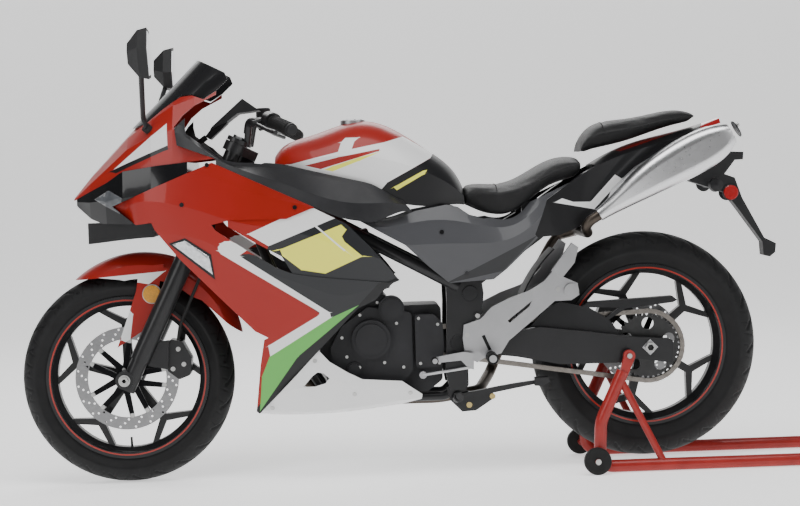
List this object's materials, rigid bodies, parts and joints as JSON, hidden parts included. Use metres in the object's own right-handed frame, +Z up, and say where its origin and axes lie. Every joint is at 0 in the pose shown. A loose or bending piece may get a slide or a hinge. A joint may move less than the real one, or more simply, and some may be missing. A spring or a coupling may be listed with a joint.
{
  "type": "sport motorcycle on a paddock stand",
  "caption": "Faired sport motorcycle with upright screen, stepped seats and high silencers, held upright by a rear paddock stand.",
  "frame": {"origin": "centre of the footprint box, on the floor", "axes": "+X forward along the bike, +Y to the rider's left, +Z up"},
  "size_m": [2.3019, 0.784, 1.228],
  "materials": {
    "black_paint": "satin black paint",
    "engine_black": "semi-gloss black engine paint",
    "red_panel": "glossy red paint over plastic",
    "red_tank": "glossy red paint over steel",
    "white_panel": "glossy white",
    "grey_panel": "satin dark grey",
    "black_plastic": "grained black",
    "smoke_screen": "dark smoked acrylic",
    "lamp": "black housing behind clear lens",
    "lamp_red": "red lens",
    "seat_vinyl": "black vinyl cover over foam",
    "aluminium": "satin aluminium",
    "steel": "plain steel",
    "disc_steel": "ground stainless",
    "chain_steel": "oiled chain steel",
    "tyre": "black tread rubber",
    "rubber": "black rubber",
    "stand_red": "chipped red paint on steel tube"
  },
  "bodies": {
    "chassis": {"main_frame": "black_paint", "crankcase": "engine_black", "cylinder": "engine_black", "sprocket_cover": "engine_black", "exhaust_pipes": "steel", "muffler_left": "aluminium", "muffler_right": "aluminium", "fuel_tank": "red_tank", "rider_seat": "seat_vinyl", "passenger_seat": "seat_vinyl", "nose_cowl": "red_panel", "windscreen": "smoke_screen", "headlamp": "lamp", "chin_cowl": "black_plastic", "fairing_left": "red_panel", "fairing_right": "red_panel", "mid_panel_left": "red_panel", "mid_panel_right": "red_panel", "knee_trim_left": "black_plastic", "knee_trim_right": "black_plastic", "belly_pan_left": "white_panel", "belly_pan_right": "white_panel", "side_cover_left": "grey_panel", "side_cover_right": "grey_panel", "tail_cowl": "black_plastic", "tail_lamp": "lamp_red", "plate_holder": "black_plastic", "swingarm": "black_paint", "chain_guard": "black_plastic", "rear_hugger": "black_plastic", "chain": "chain_steel", "rear_caliper": "black_paint", "footrest_left": "aluminium", "footrest_right": "aluminium", "gear_lever": "aluminium", "brake_pedal": "aluminium", "mirror_left": "black_plastic", "mirror_right": "black_plastic", "instrument_cluster": "black_plastic", "paddock_stand": "stand_red"},
    "steering": {"triple_clamps": "black_paint", "fork_leg_left": "black_paint", "fork_leg_right": "black_paint", "front_axle": "steel", "handlebars": "black_paint", "grips": "rubber", "front_fender": "red_panel", "front_caliper": "black_paint", "brake_hose": "rubber"},
    "front_wheel": {"front_tyre": "tyre", "front_rim": "black_paint", "front_disc": "disc_steel"},
    "rear_wheel": {"rear_tyre": "tyre", "rear_rim": "black_paint", "rear_disc": "disc_steel", "rear_sprocket": "black_paint"},
    "side_stand": {"side_stand": "black_paint"},
    "fuel_cap": {"fuel_cap": "aluminium"},
    "stand_roller_left": {"stand_roller_left": "rubber"},
    "stand_roller_right": {"stand_roller_right": "rubber"}
  },
  "joints": [
    {"name": "steering_head", "type": "hinge", "parent": "chassis", "child": "steering", "pos_m": [0.58393, 0, 0.75], "axis": [-0.4384, 0, 0.8988], "range_deg": [-28, 28]},
    {"name": "front_wheel_spin", "type": "hinge", "parent": "steering", "child": "front_wheel", "pos_m": [0.858, 0, 0.293], "axis": [0, 1, 0], "continuous": true},
    {"name": "rear_wheel_spin", "type": "hinge", "parent": "chassis", "child": "rear_wheel", "pos_m": [-0.58, 0, 0.337], "axis": [0, 1, 0], "continuous": true},
    {"name": "side_stand_swing", "type": "hinge", "parent": "chassis", "child": "side_stand", "pos_m": [-0.049, 0.095, 0.212], "axis": [0.3006, -0.9018, -0.3106], "range_deg": [0, 115]},
    {"name": "fuel_cap_hinge", "type": "hinge", "parent": "chassis", "child": "fuel_cap", "pos_m": [0.2475, 0, 0.9855], "axis": [0, 1, 0], "range_deg": [0, 100]},
    {"name": "stand_roller_left_spin", "type": "hinge", "parent": "chassis", "child": "stand_roller_left", "pos_m": [-0.42, 0.186, 0.037], "axis": [0, 1, 0], "continuous": true},
    {"name": "stand_roller_right_spin", "type": "hinge", "parent": "chassis", "child": "stand_roller_right", "pos_m": [-0.42, -0.186, 0.037], "axis": [0, 1, 0], "continuous": true}
  ]
}
